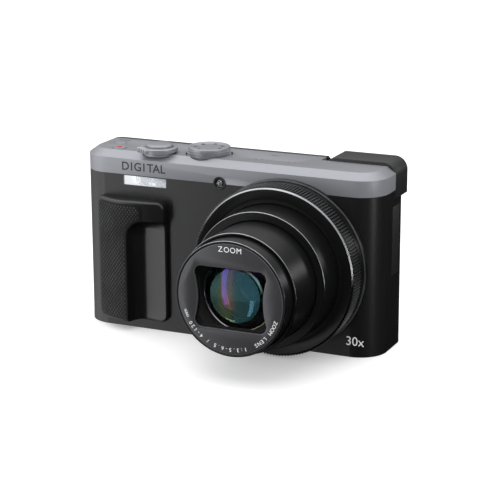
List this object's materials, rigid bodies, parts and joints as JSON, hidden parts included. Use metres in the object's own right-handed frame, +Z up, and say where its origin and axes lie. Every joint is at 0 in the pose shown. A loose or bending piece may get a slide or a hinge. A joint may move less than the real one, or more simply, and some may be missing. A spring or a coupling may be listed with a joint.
{
  "type": "compact digital camera",
  "caption": "Compact digital camera with a telescoping zoom lens, control ring, mode dial, eye-level finder, rear screen and a hinged battery door.",
  "frame": {"origin": "centre of the tripod socket's mouth, in the plane of the base", "axes": "+X to the right seen from the front, -Y the way the lens looks, +Z up from the base to the top plate"},
  "size_m": [0.1139, 0.0745, 0.0666],
  "materials": {
    "black_shell": "satin black paint on pressed aluminium",
    "rear_polymer": "fine matt black moulding",
    "grip_rubber": "moulded rubber with a small raised pattern",
    "silver_top": "fine blasted and anodised",
    "lens_black": "satin black anodised",
    "lens_inner": "flat black moulding",
    "blade_steel": "thin blackened steel",
    "coated_glass": "coated optical glass",
    "clear_window": "clear moulded window",
    "gear_polymer": "natural acetal",
    "brass_gear": "cut brass",
    "bright_steel": "plain steel",
    "board_green": "solder mask",
    "sensor_glass": "sensor package",
    "battery_wrap": "battery case",
    "card_blue": "card case",
    "bay_polymer": "black moulding",
    "screen_module": "display module",
    "screen_glass": "black backed cover glass",
    "button_black": "fine black moulding",
    "flash_silver": "vacuum metallised reflector",
    "lamp_black": "gloss black bezel",
    "screw_black": "blackened steel"
  },
  "bodies": {
    "root": {"front_shell": "black_shell", "top_cover": "silver_top", "rear_shell": "rear_polymer", "grip": "rear_polymer", "grip_pad": "grip_rubber", "lens_collar": "lens_black", "fixed_barrel": "lens_inner", "zoom_motor": "bright_steel", "sensor": "sensor_glass", "main_board": "board_green", "chassis": "bright_steel", "tripod_bush": "bright_steel", "battery": "battery_wrap", "battery_bay": "bay_polymer", "memory_card": "card_blue", "door_pin": "bright_steel", "lcd_panel": "screen_module", "lcd_cover": "screen_glass", "flash_unit": "flash_silver", "flash_window": "clear_window", "af_lamp": "lamp_black", "evf_housing": "rear_polymer", "eyepiece": "coated_glass", "sockets": "bright_steel", "strap_eyelet": "bright_steel", "case_screws": "screw_black"},
    "control_ring": {"control_ring": "lens_black"},
    "drive_ring": {"drive_ring": "gear_polymer"},
    "motor_pinion": {"motor_pinion": "brass_gear"},
    "stage_1": {"stage_1": "lens_black", "shutter_unit": "lens_inner"},
    "stage_2": {"stage_2": "lens_black", "zoom_cell": "lens_inner", "zoom_element": "coated_glass"},
    "stage_3": {"stage_3": "lens_black", "name_ring": "lens_black", "front_cell": "lens_inner", "front_element": "coated_glass"},
    "blade_upper_outer": {"blade_upper_outer": "blade_steel"},
    "blade_upper_inner": {"blade_upper_inner": "blade_steel"},
    "blade_lower_outer": {"blade_lower_outer": "blade_steel"},
    "blade_lower_inner": {"blade_lower_inner": "blade_steel"},
    "focus_group": {"focus_cell": "lens_inner", "focus_element": "coated_glass"},
    "battery_door": {"battery_door": "rear_polymer"},
    "door_latch": {"door_latch": "rear_polymer"},
    "mode_dial": {"mode_dial": "silver_top"},
    "shutter_button": {"shutter_button": "silver_top"},
    "zoom_lever": {"zoom_lever": "silver_top"},
    "movie_button": {"movie_button": "silver_top"},
    "power_button": {"power_button": "silver_top"},
    "dioptre_wheel": {"dioptre_wheel": "button_black"},
    "rear_dial": {"rear_dial": "button_black"},
    "menu_button": {"menu_button": "button_black"},
    "playback_button": {"playback_button": "button_black"},
    "display_button": {"display_button": "button_black"},
    "quick_menu_button": {"quick_menu_button": "button_black"},
    "finder_button": {"finder_button": "button_black"},
    "lock_button": {"lock_button": "button_black"},
    "terminal_door": {"terminal_door": "rear_polymer"}
  },
  "joints": [
    {"name": "zoom_stage_1", "type": "slide", "parent": "root", "child": "stage_1", "axis": [0, -1, 0], "range_m": [-0.0104, 0.003]},
    {"name": "zoom_stage_2", "type": "slide", "parent": "stage_1", "child": "stage_2", "axis": [0, -1, 0], "range_m": [-0.0162, 0.0047]},
    {"name": "zoom_stage_3", "type": "slide", "parent": "stage_2", "child": "stage_3", "axis": [0, -1, 0], "range_m": [-0.0062, 0.0018]},
    {"name": "drive_ring_spin", "type": "hinge", "parent": "root", "child": "drive_ring", "pos_m": [0.0228, 0, 0.0299], "axis": [0, 1, 0], "range_deg": [-60, 18]},
    {"name": "pinion_spin", "type": "hinge", "parent": "root", "child": "motor_pinion", "pos_m": [-0.00305, 0, 0.04482], "axis": [0, 1, 0], "range_deg": [-156, 534]},
    {"name": "focus_slide", "type": "slide", "parent": "root", "child": "focus_group", "axis": [0, -1, 0], "range_m": [0, 0.004]},
    {"name": "control_ring_spin", "type": "hinge", "parent": "root", "child": "control_ring", "pos_m": [0.0228, 0, 0.0299], "axis": [0, 1, 0], "continuous": true},
    {"name": "barrier_upper_inner", "type": "slide", "parent": "stage_3", "child": "blade_upper_inner", "axis": [0, 0, -1], "range_m": [0, 0.0096]},
    {"name": "barrier_upper_outer", "type": "slide", "parent": "stage_3", "child": "blade_upper_outer", "axis": [0, 0, -1], "range_m": [0, 0.005]},
    {"name": "barrier_lower_inner", "type": "slide", "parent": "stage_3", "child": "blade_lower_inner", "axis": [0, 0, 1], "range_m": [0, 0.0096]},
    {"name": "barrier_lower_outer", "type": "slide", "parent": "stage_3", "child": "blade_lower_outer", "axis": [0, 0, 1], "range_m": [0, 0.005]},
    {"name": "mode_dial_spin", "type": "hinge", "parent": "root", "child": "mode_dial", "pos_m": [-0.0103, -0.0034, 0.063], "axis": [0, 0, 1], "continuous": true},
    {"name": "zoom_lever_turn", "type": "hinge", "parent": "root", "child": "zoom_lever", "pos_m": [-0.027, -0.0085, 0.063], "axis": [0, 0, 1], "range_deg": [-18, 18], "stiffness_Nm_per_rad": 0.01},
    {"name": "shutter_press", "type": "slide", "parent": "root", "child": "shutter_button", "axis": [0, 0, -1], "range_m": [0, 0.0008], "stiffness_N_per_m": 600},
    {"name": "movie_press", "type": "slide", "parent": "root", "child": "movie_button", "axis": [0, 0, -1], "range_m": [0, 0.0003], "stiffness_N_per_m": 600},
    {"name": "power_press", "type": "slide", "parent": "root", "child": "power_button", "axis": [0, 0, -1], "range_m": [0, 0.0003], "stiffness_N_per_m": 600},
    {"name": "menu_press", "type": "slide", "parent": "root", "child": "menu_button", "axis": [0, -1, 0], "range_m": [0, 0.0004], "stiffness_N_per_m": 600},
    {"name": "playback_press", "type": "slide", "parent": "root", "child": "playback_button", "axis": [0, -1, 0], "range_m": [0, 0.0003], "stiffness_N_per_m": 600},
    {"name": "display_press", "type": "slide", "parent": "root", "child": "display_button", "axis": [0, -1, 0], "range_m": [0, 0.0003], "stiffness_N_per_m": 600},
    {"name": "quick_menu_press", "type": "slide", "parent": "root", "child": "quick_menu_button", "axis": [0, -1, 0], "range_m": [0, 0.0003], "stiffness_N_per_m": 600},
    {"name": "finder_press", "type": "slide", "parent": "root", "child": "finder_button", "axis": [0, -1, 0], "range_m": [0, 0.0003], "stiffness_N_per_m": 600},
    {"name": "lock_press", "type": "slide", "parent": "root", "child": "lock_button", "axis": [0, -1, 0], "range_m": [0, 0.0003], "stiffness_N_per_m": 600},
    {"name": "rear_dial_spin", "type": "hinge", "parent": "root", "child": "rear_dial", "pos_m": [-0.036, 0.012, 0.02], "axis": [0, 1, 0], "continuous": true},
    {"name": "dioptre_turn", "type": "hinge", "parent": "root", "child": "dioptre_wheel", "pos_m": [0.032, 0.0132, 0.058], "axis": [0, 0, 1], "range_deg": [-120, 120]},
    {"name": "battery_door_open", "type": "hinge", "parent": "root", "child": "battery_door", "pos_m": [-0.0094, 0, 0.001], "axis": [0, -1, 0], "range_deg": [0, 95]},
    {"name": "door_latch_slide", "type": "slide", "parent": "battery_door", "child": "door_latch", "axis": [1, 0, 0], "range_m": [0, 0.0024]},
    {"name": "terminal_door_open", "type": "hinge", "parent": "root", "child": "terminal_door", "pos_m": [0.0553, 0.0063, 0.038], "axis": [0, 0, 1], "range_deg": [0, 100]}
  ],
  "couplings": [
    {"joint": "zoom_stage_2", "follows": "zoom_stage_1", "ratio": 1.5481},
    {"joint": "zoom_stage_3", "follows": "zoom_stage_1", "ratio": 0.58654},
    {"joint": "drive_ring_spin", "follows": "zoom_stage_1", "rad_per_m": 100},
    {"joint": "pinion_spin", "follows": "zoom_stage_1", "rad_per_m": -891.67},
    {"joint": "barrier_lower_inner", "follows": "barrier_upper_inner", "ratio": 1},
    {"joint": "barrier_upper_outer", "follows": "barrier_upper_inner", "ratio": 0.52},
    {"joint": "barrier_lower_outer", "follows": "barrier_upper_inner", "ratio": 0.52}
  ]
}
